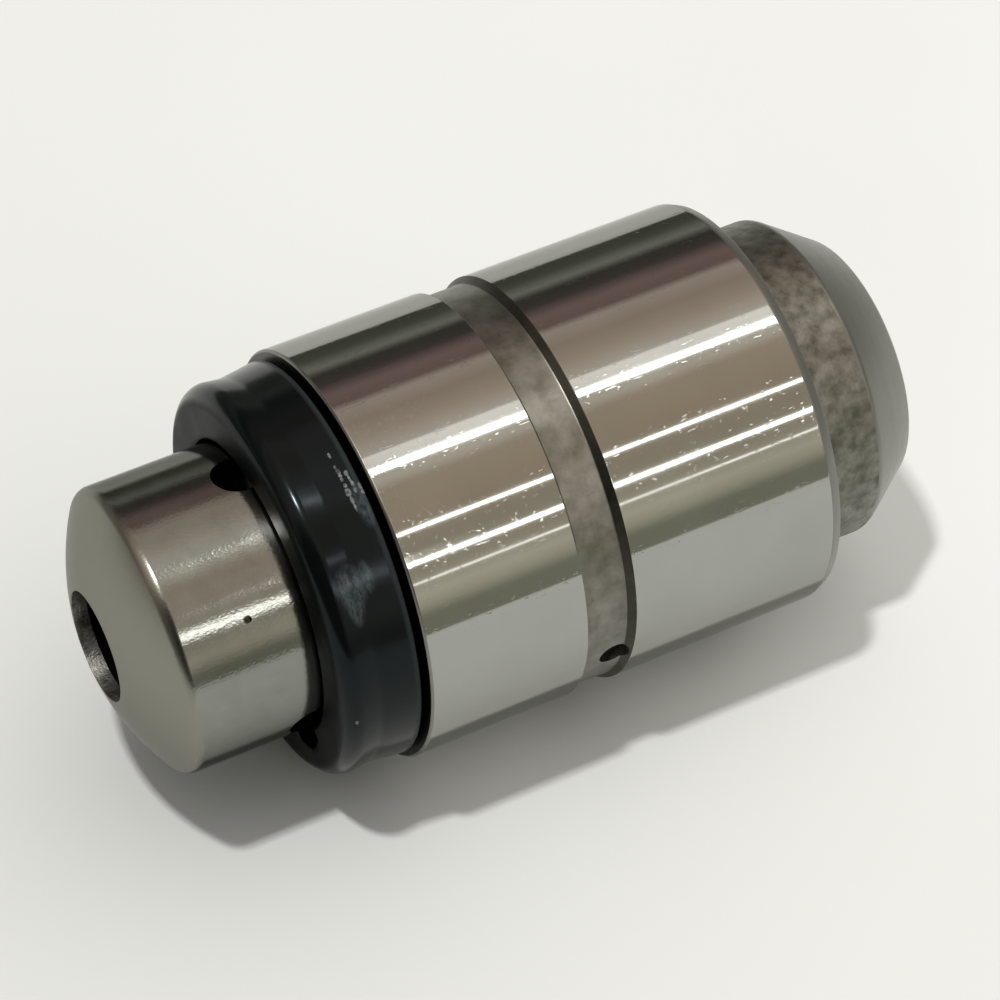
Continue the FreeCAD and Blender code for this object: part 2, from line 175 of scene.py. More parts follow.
paper = bpy.data.materials.new("white_paper")
paper.use_nodes = True
tree = paper.node_tree
tree.nodes.clear()
place = add(tree, "ShaderNodeTexCoord").outputs["Object"]
cloud = add(tree, "ShaderNodeTexNoise", {"Vector": place, "Scale": 1 / (PAPER_CLOUD * MILLIMETRE),
                                         "Detail": 2.0})
cloudiness = add(tree, "ShaderNodeMapRange", {"Value": cloud, "From Min": 0.3, "From Max": 0.7})
clean_paper = add(tree, "ShaderNodeMix", {0: cloudiness, 6: linear("#f5f5f1"), 7: linear("#fafaf7")},
                  data_type="RGBA")
along = add(tree, "ShaderNodeSeparateXYZ", {0: place}).outputs["Z"]
# Painted shade: the paper greys towards the plunger's end, standing in for the viewer's shade.
painted_viewer_shade = add(tree, "ShaderNodeMapRange", {"Value": along, "From Min": PAPER_SHADE_START * MILLIMETRE,
                                           "From Max": PAPER_SHADE_FULL * MILLIMETRE})
paper_colour = add(tree, "ShaderNodeMix", {0: painted_viewer_shade, 6: clean_paper, 7: linear("#edede9")},
                   data_type="RGBA")
front = add(tree, "ShaderNodeBsdfDiffuse", {"Color": paper_colour})
clear_back = add(tree, "ShaderNodeBsdfTransparent")
seen_from_behind = add(tree, "ShaderNodeNewGeometry").outputs["Backfacing"]
both_sides = add(tree, "ShaderNodeMixShader", {0: seen_from_behind, 1: front, 2: clear_back})
add(tree, "ShaderNodeOutputMaterial", {"Surface": both_sides})
table_data.materials.append(paper)
print("material:", paper.name)

# %% [markdown]
# ## Light
#
# The room is an ordinary workshop with rows of tube lamps under the ceiling.  The lamp nearly overhead
# throws the shadow.  The rows of tubes show as the thin bright lines along the ground steel, so they are
# lamps that only reflections see.  Most of the rows end before the plunger could mirror them, which is
# why the plunger has one bright line and the body has four.  Faint ceiling panels lie over the plunger
# instead.

# %% Lamps
LAMP_DISTANCE = 0.6
KEY_ACROSS = 0.075
KEY_ALONG = 0.24
KEY_WIDTH = 0.035
KEY_RADIANCE = 420.0
LIFTER_MIDDLE = Vector((0, 0, 16.0)) * MILLIMETRE


def add_lamp(name, centre, towards, width, length, radiance, reflections_only=False):
    """A rectangular lamp with its long side along the lifter.  Its power comes from the radiance wanted."""
    light = bpy.data.lights.new(name, "AREA")
    light.shape = "RECTANGLE"
    light.size = width
    light.size_y = length
    light.energy = radiance * math.pi * width * length
    lamp = bpy.data.objects.new(name, light)
    across = towards.cross(Vector((0, 0, 1))).normalized()
    along = across.cross(towards)
    lamp.matrix_world = Matrix.Translation(centre) @ Matrix((across, along, towards)).transposed().to_4x4()
    lamp.visible_camera = False
    lamp.visible_diffuse = not reflections_only
    bpy.context.collection.objects.link(lamp)
    print(f"{name}: {light.energy:.3g} W")


key_direction = (table_normal + table_near * KEY_ACROSS + Vector((0, 0, KEY_ALONG))).normalized()
add_lamp("overhead_lamp", LIFTER_MIDDLE + key_direction * LAMP_DISTANCE, key_direction, KEY_WIDTH, KEY_WIDTH,
         KEY_RADIANCE)

# Rows of tubes: angle from overhead towards the viewer, width seen, radiance, lower and upper end
SHORT_ROW_END = -0.152
LONG_ROW_END = 0.1
ROW_FOOT = -0.37
TUBE_ROWS = [("tube_row_overhead", 6.6, 3.4, 9.0, ROW_FOOT, SHORT_ROW_END),
             ("tube_row_glow", 1.2, 6.8, 0.8, ROW_FOOT, SHORT_ROW_END),
             ("tube_row_second", 42.1, 1.6, 8.0, ROW_FOOT, SHORT_ROW_END),
             ("tube_row_third", 58.8, 2.2, 7.0, ROW_FOOT, SHORT_ROW_END),
             ("tube_row_fourth", 69.2, 1.1, 2.0, ROW_FOOT, SHORT_ROW_END),
             ("tube_over_plunger", 56.5, 5.0, 5.0, SHORT_ROW_END, LONG_ROW_END),
             ("far_panel", -16.0, 26.0, 0.16, SHORT_ROW_END, LONG_ROW_END),
             ("middle_panel", 11.0, 26.0, 0.11, SHORT_ROW_END, LONG_ROW_END),
             ("near_panel", 38.0, 26.0, 0.17, SHORT_ROW_END, LONG_ROW_END)]
for name, angle, seen_width, radiance, foot, top in TUBE_ROWS:
    turn = math.radians(angle)
    row_direction = table_normal * math.cos(turn) + table_near * math.sin(turn)
    width = 2 * LAMP_DISTANCE * math.tan(math.radians(seen_width) / 2)
    middle = Vector((0, 0, (foot + top) / 2))
    add_lamp(name, row_direction * LAMP_DISTANCE + middle, row_direction, width, top - foot, radiance,
             reflections_only=True)

# %% [markdown]
# ## The room that the steel reflects
#
# What the steel mirrors between the lamps is the room: tan ceiling, dark walls, and a pale stripe low on
# the far wall.  A polished cylinder shows a room as bands along its length, so the room is a colour ramp
# over the angle round the lifter's axis.

# %% Bands of the room
# Angle from overhead, positive towards the viewer, and colour
ROOM_BANDS = [(-100, "#65655d"), (-88, "#595a50"), (-80, "#63665a"), (-70, "#989891"), (-64, "#4b4941"),
              (-55, "#564e4b"), (-46, "#9a807d"), (-38, "#8b7670"), (-34, "#d0bfb4"), (-24, "#bfac9c"),
              (-14, "#d2bfae"), (-7, "#e6d8ca"), (-2, "#efe5dc"), (5, "#dad2c6"), (12, "#f6ebdc"),
              (18, "#d2bfab"), (34, "#cbb7a3"), (50, "#c2b6a2"), (64, "#c7bdaa"), (76, "#ebe4d1"),
              (82, "#d6cebb"), (88, "#9d9e8d")]

world = bpy.data.worlds.new("workshop")
scene.world = world
world.use_nodes = True
tree = world.node_tree
tree.nodes.clear()
looking = add(tree, "ShaderNodeTexCoord").outputs["Generated"]
upward = add(tree, "ShaderNodeVectorMath", {0: looking, 1: table_normal}, operation="DOT_PRODUCT")
nearward = add(tree, "ShaderNodeVectorMath", {0: looking, 1: table_near}, operation="DOT_PRODUCT")
plungerward = add(tree, "ShaderNodeVectorMath", {0: looking, 1: (0, 0, 1)}, operation="DOT_PRODUCT")
round_axis = add(tree, "ShaderNodeMath", {0: nearward, 1: upward}, operation="ARCTAN2")
turn_share = add(tree, "ShaderNodeMapRange", {"Value": round_axis, "From Min": -math.pi,
                                              "From Max": math.pi})
room = add(tree, "ShaderNodeValToRGB", {0: turn_share})
bands = room.color_ramp.elements
bands.remove(bands[-1])
for angle, code in ROOM_BANDS:
    bands.new(angle / 360 + 0.5).color = linear(code)
bands.remove(bands[0])
print("room:", len(bands), "bands")

# %% [markdown]
# ## The ends of the room, and the sky
#
# Beyond the plunger, on the near side, the room is dark, because whoever holds the camera stands there.
# Its other end is an even grey.  The soft daylight that falls on the paper comes from the spigot's end, a
# little above the table.  Each kind of ray gets its own part: mirrored rays see the room, scattered ones
# the daylight, and the camera a pale background.

# %% World
VIEWER_COLOUR = "#2e2b24"
VIEWER_LEAN = 0.7
VIEWER_SIDE = (0.55, 0.75)
VIEWER_END = (0.0, 0.25)
FAR_END = (-0.6, -0.95)
FAR_END_COLOUR = "#9a9b94"
SKY_COLOUR = "#fbfaf6"
SKY_STRENGTH = 1.35
SKY_FALL = 2.5
SKY_LIFT = math.radians(30)
BACKGROUND_COLOUR = "#f0f0ea"

beyond_plunger = add(tree, "ShaderNodeMapRange", {"Value": plungerward, "From Min": VIEWER_END[0],
                                                  "From Max": VIEWER_END[1]})
leaning_over = add(tree, "ShaderNodeMath", {0: plungerward, 1: VIEWER_LEAN, 2: nearward},
                   operation="MULTIPLY_ADD")
on_near_side = add(tree, "ShaderNodeMapRange", {"Value": leaning_over, "From Min": VIEWER_SIDE[0],
                                                "From Max": VIEWER_SIDE[1]})
standing_viewer = add(tree, "ShaderNodeMath", {0: beyond_plunger, 1: on_near_side}, operation="MULTIPLY")
with_viewer = add(tree, "ShaderNodeMix", {0: standing_viewer, 6: room, 7: linear(VIEWER_COLOUR)},
                  data_type="RGBA")
far_end = add(tree, "ShaderNodeMapRange", {"Value": plungerward, "From Min": FAR_END[0],
                                           "From Max": FAR_END[1]})
all_round = add(tree, "ShaderNodeMix", {0: far_end, 6: with_viewer, 7: linear(FAR_END_COLOUR)},
                data_type="RGBA")
brightest_sky = Vector((0, 0, -1)) * math.cos(SKY_LIFT) + table_normal * math.sin(SKY_LIFT)
skyward = add(tree, "ShaderNodeVectorMath", {0: looking, 1: brightest_sky}, operation="DOT_PRODUCT")
nearness = add(tree, "ShaderNodeMapRange", {"Value": skyward, "From Min": -1.0, "From Max": 1.0})
fall = add(tree, "ShaderNodeMath", {0: nearness, 1: SKY_FALL}, operation="POWER")
sky = add(tree, "ShaderNodeMath", {0: fall, 1: SKY_STRENGTH}, operation="MULTIPLY")
for_diffuse = add(tree, "ShaderNodeBackground", {"Color": linear(SKY_COLOUR), "Strength": sky})
for_gloss = add(tree, "ShaderNodeBackground", {"Color": all_round, "Strength": 1.0})
for_camera = add(tree, "ShaderNodeBackground", {"Color": linear(BACKGROUND_COLOUR), "Strength": 1.0})
ray = add(tree, "ShaderNodeLightPath")
shiny = add(tree, "ShaderNodeMixShader", {0: ray.outputs["Is Glossy Ray"], 1: for_diffuse, 2: for_gloss})
seen = add(tree, "ShaderNodeMixShader", {0: ray.outputs["Is Camera Ray"], 1: shiny, 2: for_camera})
add(tree, "ShaderNodeOutputWorld", {"Surface": seen})
print("world:", len(tree.nodes), "nodes")

# %% [markdown]
# ## How the pieces are turned
#
# Every outer piece of a lifter is made on a lathe or pressed round, so each is half a section spun about
# the axis.  The section is drawn like a lathe tool's path: a vertex moves in straight lines, and a small
# spin of that vertex about a centre draws an arc.  Corners get a small vertex bevel first, because no real
# edge is perfectly sharp and it is the rounded edge that catches the light.

# %% The lathe
TURN_STEPS = 256
CORNER_STEPS = 4
MERGE_DISTANCE = 0.0005
SHARP_ANGLE = math.radians(40)


class Section:
    """Half a section of a turned piece in millimetres, drawn point by point."""

    def __init__(self, radius, height, softness=0.0):
        self.mesh = bmesh.new()
        self.tip = self.mesh.verts.new((radius, 0, height))
        self.start = self.tip
        self.soft = [(self.tip, softness)] if softness else []

    def line(self, radius, height, softness=0.0):
        """A straight cut to the next corner, which is rounded by its softness."""
        following = self.mesh.verts.new((radius, 0, height))
        self.mesh.edges.new((self.tip, following))
        self.tip = following
        if softness:
            self.soft.append((following, softness))

    def arc(self, centre_radius, centre_height, degrees, steps, softness=0.0):
        """Swing the last point about a centre; positive degrees turn from the height towards the radius."""
        swung = bmesh.ops.spin(self.mesh, geom=[self.tip], cent=(centre_radius, 0, centre_height),
                               axis=(0, 1, 0), dvec=(0, 0, 0), angle=math.radians(degrees), steps=steps)
        self.tip = next(item for item in swung["geom_last"] if isinstance(item, bmesh.types.BMVert))
        if softness:
            self.soft.append((self.tip, softness))

    def close(self):
        """Join the last point to the first one."""
        self.mesh.edges.new((self.tip, self.start))

    def turn(self, name):
        """Round the corners, spin the section about the axis and return the finished object."""
        for corner, softness in self.soft:
            bmesh.ops.bevel(self.mesh, geom=[corner], offset=softness, offset_type="OFFSET",
                            segments=CORNER_STEPS, profile=0.5, affect="VERTICES", material=-1,
                            clamp_overlap=True)
        bmesh.ops.spin(self.mesh, geom=self.mesh.verts[:] + self.mesh.edges[:], cent=(0, 0, 0),
                       axis=(0, 0, 1), dvec=(0, 0, 0), angle=2 * math.pi, steps=TURN_STEPS, use_merge=True)
        bmesh.ops.remove_doubles(self.mesh, verts=self.mesh.verts, dist=MERGE_DISTANCE)
        bmesh.ops.recalc_face_normals(self.mesh, faces=self.mesh.faces)
        bmesh.ops.scale(self.mesh, vec=(MILLIMETRE,) * 3, verts=self.mesh.verts)
        return finished(name, self.mesh)


def finished(name, mesh):
    """Put a bmesh into an object with smooth faces."""
    data = bpy.data.meshes.new(name)
    mesh.to_mesh(data)
    mesh.free()
    data.shade_smooth()
    piece = bpy.data.objects.new(name, data)
    bpy.context.collection.objects.link(piece)
    print(f"{name}: {len(data.polygons)} faces")
    return piece


def weigh_normals(piece):
    """Let the large faces set the normals, so that flats stay flat beside a rounded edge."""
    piece.data.set_sharp_from_angle(angle=SHARP_ANGLE)
    modifier = piece.modifiers.new("flat_faces", "WEIGHTED_NORMAL")
    modifier.keep_sharp = True


# %% [markdown]
# ## Drilling and finishing a piece
#
# Holes are cut by a boolean with thin cylinders, as a drill would, and the result replaces the mesh.  One
# turned piece can have several finishes, so each face is given the material of the place that it lies in.

# %% Drill and paint
DRILL_SIDES = 64


def drill(piece, radius, height, azimuths, reach):
    """Drill round holes (millimetres and degrees) from the axis outwards through the piece's wall."""
    drills = bmesh.new()
    for azimuth in azimuths:
        way = direction(math.radians(azimuth))
        placed = Matrix.Translation(way * (reach / 2) + Vector((0, 0, height))) @ \
            way.to_track_quat("Z", "Y").to_matrix().to_4x4()
        bmesh.ops.create_cone(drills, cap_ends=True, segments=DRILL_SIDES, radius1=radius, radius2=radius,
                              depth=reach, matrix=placed)
    bmesh.ops.scale(drills, vec=(MILLIMETRE,) * 3, verts=drills.verts)
    cutter = finished(piece.name + "_drills", drills)
    cut = piece.modifiers.new("drilled", "BOOLEAN")
    cut.object = cutter
    cut.operation = "DIFFERENCE"
    cut.solver = "EXACT"
    cut.use_self = True
    drilled = bpy.data.meshes.new_from_object(piece.evaluated_get(bpy.context.evaluated_depsgraph_get()))
    piece.modifiers.clear()
    piece.data = drilled
    drilled.name = piece.name
    bpy.data.objects.remove(cutter)
    print(f"{piece.name}: drilled, {len(drilled.polygons)} faces")


def paint(piece, choose, materials):
    """Give each face the material that choose(radius, height, outward) names, in millimetres."""
    names = list(materials)
    piece.data.materials.clear()
    for name in names:
        piece.data.materials.append(materials[name])
    for polygon in piece.data.polygons:
        x, y, z = polygon.center / MILLIMETRE
        radius = math.hypot(x, y)
        outward = (polygon.normal.x * x + polygon.normal.y * y) / max(radius, 0.001)
        polygon.material_index = names.index(choose(radius, z, outward))
    print(f"{piece.name}: finishes", ", ".join(names))


# %% [markdown]
# ## Ground steel
#
# The outside of the cup is hardened bearing steel, centreless ground to fit its bore.  Grinding leaves very
# fine rings round the piece, too fine to see one by one, so the surface looks like a slightly soft mirror.
# Handling has left a few short scratches and specks, which sparkle beside the bright lines.  The metal is
# a metallic shader with a low roughness and three bump patterns: rings that change quickly along the axis,
# sparse small specks, and scratches from a stretched noise.  The rings are drawn 0.12 mm apart, far coarser
# than real grinding marks, because finer ones would be lost between the pixels.

# %% Ground steel
RING_SPACING = 0.12
RING_STRETCH = (60, 60, 1)
SCRATCH_LENGTH = 0.8
SCRATCH_STRETCH = (0.18, 0.18, 1.0)
PIT_SIZE = 0.22
GROUND_CLOUD = 3.0
MIDDLE_GREYS = (0.3, 0.7)
SLANTING_REFLECTION = "#dadad9"


def new_material(name):
    """An empty material, with its tree and its object coordinates."""
    material = bpy.data.materials.new(name)
    material.use_nodes = True
    material.node_tree.nodes.clear()
    place = add(material.node_tree, "ShaderNodeTexCoord").outputs["Object"]
    print("material:", name)
    return material, material.node_tree, place


def pattern(tree, place, size, stretch=(1, 1, 1), detail=2.0, roughness=0.5, between=None):
    """A noise with grains of about size millimetres, stretched along the axes.

    Where between is given, the noise from its lower to its upper value is spread over 0 to 1.
    """
    scale = [1 / (size * MILLIMETRE * share) for share in stretch]
    scaled = add(tree, "ShaderNodeMapping", {"Vector": place, "Scale": scale})
    noise = add(tree, "ShaderNodeTexNoise", {"Vector": scaled, "Scale": 1.0, "Detail": detail,
                                             "Roughness": roughness})
    if between is None:
        return noise
    return add(tree, "ShaderNodeMapRange", {"Value": noise, "From Min": between[0], "From Max": between[1]})


def relief(tree, layers):
    """Stack bump layers of (height, strength, distance in millimetres) and return the last."""
    bump = None
    for height, strength, distance in layers:
        inputs = {"Height": height, "Strength": strength, "Distance": distance * MILLIMETRE}
        if bump is not None:
            inputs["Normal"] = bump
        bump = add(tree, "ShaderNodeBump", inputs)
    return bump


ground_steel, tree, place = new_material("ground_bearing_steel")
rings = pattern(tree, place, RING_SPACING, RING_STRETCH, detail=1.0)
specks = pattern(tree, place, PIT_SIZE, detail=3.0, between=(0.64, 0.72))
scratches = pattern(tree, place, SCRATCH_LENGTH, SCRATCH_STRETCH, between=(0.68, 0.73))
cloud = pattern(tree, place, GROUND_CLOUD, detail=3.0, between=MIDDLE_GREYS)
colour = add(tree, "ShaderNodeMix", {0: cloud, 6: linear("#a1a29d"), 7: linear("#a6a7a2")},
             data_type="RGBA")
roughness = add(tree, "ShaderNodeMapRange", {"Value": cloud, "To Min": 0.055, "To Max": 0.075})
shader = add(tree, "ShaderNodeBsdfPrincipled", {
    "Base Color": colour, "Metallic": 1.0, "Roughness": roughness,
    "Specular Tint": linear(SLANTING_REFLECTION),
    "Normal": relief(tree, [(rings, 0.1, 0.002), (specks, 0.25, 0.005), (scratches, 0.2, 0.003)])})
add(tree, "ShaderNodeOutputMaterial", {"Surface": shader})

# %% [markdown]
# ## The other steel finishes
#
# The floor of the oil groove is turned and left as hardened: a dull, cloudy grey.  The spigot behind the
# body is a rough forged skin with dark spots.  Its conical edge and its end are turned, an even satin grey.
# Drilled holes are painted dark deep inside, as painted shade, and mottled near their mouths, where the
# marks of the drill catch the light.  Each is the same metallic shader with more roughness and its own
# grain.

# %% Groove, spigot, turned ends and holes
GROOVE_CLOUD = 0.9
GROOVE_GRAIN = 0.1
FORGED_SPOT = 0.6
FORGED_GRAIN = 0.12
TURNED_CLOUD = 2.0
TURNED_GRAIN = 0.06
TURNED_STRETCH = (8, 8, 1)
DRILL_CLOUD = 0.4
DRILL_STRETCH = (1, 1, 1.5)
HOLE_SHADE_CLOUD = 0.5
DRILL_GRAIN = 0.1
ROUGHNESS_SPREAD = 0.06


def dull_steel(name, dark, light, roughness, cloud_size, grain_size, grain_depth, stretch=(1, 1, 1)):
    """A dull steel: two greys clouded together, with a fine grain in relief."""
    material, tree, place = new_material(name)
    cloud = pattern(tree, place, cloud_size, stretch, detail=4.0, roughness=0.6, between=(0.33, 0.67))
    grain = pattern(tree, place, grain_size, stretch, detail=3.0)
    colour = add(tree, "ShaderNodeMix", {0: cloud, 6: linear(dark), 7: linear(light)}, data_type="RGBA")
    uneven = add(tree, "ShaderNodeMapRange", {"Value": grain, "From Min": 0.2, "From Max": 0.8,
                                              "To Min": roughness - ROUGHNESS_SPREAD,
                                              "To Max": roughness + ROUGHNESS_SPREAD})
    shader = add(tree, "ShaderNodeBsdfPrincipled", {
        "Base Color": colour, "Metallic": 1.0, "Roughness": uneven,
        "Normal": relief(tree, [(grain, 0.5, grain_depth)])})
    add(tree, "ShaderNodeOutputMaterial", {"Surface": shader})
    return material


groove_steel = dull_steel("hardened_turned_steel", "#68675e", "#87857d", 0.4, GROOVE_CLOUD, GROOVE_GRAIN,
                          0.006)
# The groove's rear flank is painted darker than the floor: painted shade in the step of the groove.
flank_shade_steel = dull_steel("groove_flank_painted_shade", "#3c3b34", "#4a4941", 0.45, GROOVE_CLOUD, GROOVE_GRAIN, 0.006)
forged_steel = dull_steel("forged_skin", "#5b5a51", "#87867d", 0.45, FORGED_SPOT, FORGED_GRAIN, 0.015)
turned_steel = dull_steel("turned_steel", "#7f7f79", "#8c8b86", 0.38, TURNED_CLOUD, TURNED_GRAIN, 0.003,
                          TURNED_STRETCH)
bored_steel = dull_steel("drilled_steel", "#504f49", "#979690", 0.45, DRILL_CLOUD, DRILL_GRAIN, 0.04,
                         DRILL_STRETCH)
# Painted shade: the deep insides of holes and the recess round the neck are painted nearly black.
hole_shade_steel = dull_steel("drilled_steel_painted_shade", "#22211d", "#34332d", 0.35, HOLE_SHADE_CLOUD, DRILL_GRAIN, 0.01)

# %% [markdown]
# ## The cup
#
# Its section follows the sizes of the solid model: flat spigot end, conical edge, rough spigot, a shallow
# rear chamfer, the ground body with its oil groove, the front chamfer, then the neck that carries the cap
# and the bore.  Only the front face stands 0.06 mm further out than in the solid, because the dark gap to
# the cap is that narrow.  The feed hole is drilled from inside, as it pierces the groove's floor and its
# rear flank.  The groove's rear flank is painted darker, as painted shade in the step.  The recess round the
# neck, which the cap covers, is painted nearly black as painted shade, so that the gap to the cap shows
# black.

# %% Cup
EDGE = 0.04
SPIGOT_END_RADIUS = 5.05
SPIGOT_RADIUS = 6.75
SPIGOT_CONE_HEIGHT = 2.4
SPIGOT_LENGTH = 5.25
REAR_CHAMFER_DEPTH = 0.16
REAR_CHAMFER_HEIGHT = 0.4
GROOVE_RADIUS = 8.25
GROOVE_FOOT = 14.5
GROOVE_TOP = 16.6
GROOVE_REAR_FLANK = 0.3
GROOVE_FRONT_FLANK = 0.08
FRONT_FACE = 23.36
FRONT_CHAMFER = 0.08
NECK_ROOT_RADIUS = 7.25
NECK_ROOT_TOP = 24.5
NECK_BEAD_RADIUS = 7.5
NECK_BEAD_TAPER = 0.05
NECK_BEAD_FOOT = 25.2
NECK_BEAD_TOP = 25.75
NECK_TOP_RADIUS = 7.3
NECK_TOP = 26.25
BORE_RADIUS = 6.6
BORE_MOUTH_CHAMFER = 0.4
BORE_FLOOR = 6.8
FEED_HOLE_RADIUS = 0.62
FEED_HOLE_HEIGHT = 15.172
FEED_HOLE_AZIMUTH = -60
CUP_DRILL_REACH = 9.0

# Radius, height and softness of each corner
CUP_CORNERS = [(SPIGOT_END_RADIUS, 0, 0.25),
               (SPIGOT_RADIUS, SPIGOT_CONE_HEIGHT, 0.12),
               (SPIGOT_RADIUS, SPIGOT_LENGTH, 0.08),
               (BODY_RADIUS - REAR_CHAMFER_DEPTH, SPIGOT_LENGTH, EDGE),
               (BODY_RADIUS, SPIGOT_LENGTH + REAR_CHAMFER_HEIGHT, 0.08),
               (BODY_RADIUS, GROOVE_FOOT, 0.03),
               (GROOVE_RADIUS, GROOVE_FOOT + GROOVE_REAR_FLANK, 0.05),
               (GROOVE_RADIUS, GROOVE_TOP - GROOVE_FRONT_FLANK, 0.05),
               (BODY_RADIUS, GROOVE_TOP, 0.03),
               (BODY_RADIUS, FRONT_FACE - FRONT_CHAMFER, 0.03),
               (BODY_RADIUS - FRONT_CHAMFER, FRONT_FACE, 0.03),
               (NECK_ROOT_RADIUS, FRONT_FACE, 0.08),
               (NECK_ROOT_RADIUS, NECK_ROOT_TOP, 0.05),
               (NECK_BEAD_RADIUS - NECK_BEAD_TAPER, NECK_BEAD_FOOT, 0.1),
               (NECK_BEAD_RADIUS, NECK_BEAD_TOP, 0.08),
               (NECK_TOP_RADIUS, NECK_TOP, EDGE),
               (BORE_RADIUS + BORE_MOUTH_CHAMFER, NECK_TOP, EDGE),
               (BORE_RADIUS, NECK_TOP - BORE_MOUTH_CHAMFER, 0.06),
               (BORE_RADIUS, BORE_FLOOR, 0.5),
               (0, BORE_FLOOR, 0)]

cup_section = Section(0, 0)
for radius, height, softness in CUP_CORNERS:
    cup_section.line(radius, height, softness)
cup = cup_section.turn("cup")
drill(cup, FEED_HOLE_RADIUS, FEED_HOLE_HEIGHT, [FEED_HOLE_AZIMUTH], CUP_DRILL_REACH)

# %% Finishes of the cup
MARGIN = 0.1
SLIGHTLY = 0.05
BARELY = 0.02
STRAIGHT_OUT = 0.99


def cup_finish(radius, height, outward):
    """Which finish a face of the cup has."""
    beside_groove = GROOVE_FOOT - MARGIN < height < GROOVE_TOP + MARGIN
    beside_flank = beside_groove and height < GROOVE_FOOT + GROOVE_REAR_FLANK + MARGIN
    if radius > BODY_RADIUS - 2 * MARGIN and outward > STRAIGHT_OUT:
        return "ground"
    if height > FRONT_FACE - MARGIN and radius < BODY_RADIUS - MARGIN:
        return "recess"
    if radius > GROOVE_RADIUS + BARELY and beside_flank:
        return "flank"
    if radius > GROOVE_RADIUS - SLIGHTLY and beside_groove:
        return "groove"
    if height < SPIGOT_CONE_HEIGHT + MARGIN:
        return "turned"
    if height < SPIGOT_LENGTH - SLIGHTLY:
        return "forged"
    if beside_groove:
        return "drilled"
    return "turned"


paint(cup, cup_finish, {"ground": ground_steel, "groove": groove_steel, "flank": flank_shade_steel,
                        "forged": forged_steel, "turned": turned_steel, "drilled": bored_steel,
                        "recess": hole_shade_steel})
weigh_normals(cup)
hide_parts("lifter_body")
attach(cup, "housing")

# %% [markdown]
# ## Black oxide
#
# The cap is pressed from sheet steel and blackened in a hot salt bath.  The oiled oxide is a thin glassy
# layer: nearly black where it faces the viewer and clearly grey where it is seen at a slant.  The flat
# face is duller than the skirt, and the rim is matt and painted lighter, a painted sheen for the line of
# light along its edge.  The skirt has been knocked and rubbed in handling: short rows of pale dents run
# round it, and hazy patches lie beside them, partly rubbed and partly a painted reflection of the tube
# rows.  A black patch is painted on the flat face next to the plunger.  A mark is a soft patch of the
# surface, and the dents and the haze are broken up by noise.

# %% Marks on the cap
CAP_TOP = 26.8
RIM_MATT_AND_SHEEN_TOP = 23.9
PATCH_CORE = 0.5

# Azimuth, radius, height, half length and half width of each mark
DENTS = [(31.3, 8.08, 24.22, 0.2, 0.08), (27.4, 8.08, 24.22, 0.14, 0.1), (26.0, 8.08, 24.2, 0.2, 0.14),
         (24.7, 8.08, 24.21, 0.15, 0.11), (23.5, 8.08, 24.22, 0.16, 0.1), (21.7, 8.08, 24.2, 0.17, 0.12),
         (19.6, 8.08, 24.21, 0.25, 0.17), (17.2, 8.08, 24.2, 0.3, 0.1), (15.2, 8.08, 24.19, 0.28, 0.08),
         (24.8, 8.13, 23.96, 0.17, 0.13), (23.0, 8.13, 23.95, 0.22, 0.07), (21.3, 8.13, 23.92, 0.22, 0.1),
         (19.8, 8.13, 23.93, 0.22, 0.1), (20.2, 8.17, 23.69, 0.24, 0.1), (18.3, 8.17, 23.68, 0.16, 0.13),
         (-45.4, 8.0, 26.3, 0.16, 0.11)]
# Hazy patches where the tube rows mirror: partly rubbing, partly a painted reflection of the rows.
HAZE_AND_REFLECTIONS = [(-4.5, 8.0, 25.45, 1.0, 0.7), (-9.5, 8.0, 25.5, 0.9, 0.4), (-3.0, 8.03, 24.75, 0.7, 0.3),
        (15.0, 8.12, 23.9, 1.0, 0.32)]
# A black patch on the flat face next to the plunger, painted black and without shine.
BLACK_PATCHES = [(-97, 6.3, CAP_TOP, 0.6, 0.6), (-93, 6.36, CAP_TOP, 0.7, 0.7), (-89, 6.4, CAP_TOP, 0.8, 0.8),
         (-85, 6.38, CAP_TOP, 0.7, 0.7), (-81, 6.33, CAP_TOP, 0.5, 0.5)]


def patch(tree, place, azimuth, radius, height, half_length, half_width):
    """A soft patch, long round the axis: one in its middle, nothing at its edge."""
    centre = (direction(math.radians(azimuth)) * radius + Vector((0, 0, height))) * MILLIMETRE
    away = add(tree, "ShaderNodeVectorMath", {0: place, 1: centre}, operation="SUBTRACT")
    squeezed = add(tree, "ShaderNodeVectorMath", {0: away, 1: (1, 1, half_length / half_width)},
                   operation="MULTIPLY")
    reach = add(tree, "ShaderNodeVectorMath", {0: squeezed}, operation="LENGTH")
    return add(tree, "ShaderNodeMapRange", {"Value": reach, "From Min": half_length * MILLIMETRE,
                                            "From Max": PATCH_CORE * half_length * MILLIMETRE})


def patches(tree, place, marks):
    """All the patches of a list in one pattern."""
    together = patch(tree, place, *marks[0])
    for mark in marks[1:]:
        together = add(tree, "ShaderNodeMath", {0: together, 1: patch(tree, place, *mark)},
                       operation="MAXIMUM")
    return together


# %% Black oxide
RIM_SOFTNESS = 0.15
FACE_DEPTH = (0.14, 0.02)
DENT_GRAIN = 0.16
HAZE_AND_REFLECTION_GRAIN = 0.25
HAZE_AND_REFLECTION_STRETCH = (1.5, 1.5, 0.7)
OXIDE_CLOUD = 1.5
OXIDE_WAVE = 0.6
OXIDE_SPECULAR = 0.19
RIM_DULLING = 0.3
FACE_DULLING = 0.45
MATT_ROUGHNESS = 0.3
COOL_SHEEN = "#e5f7ff"

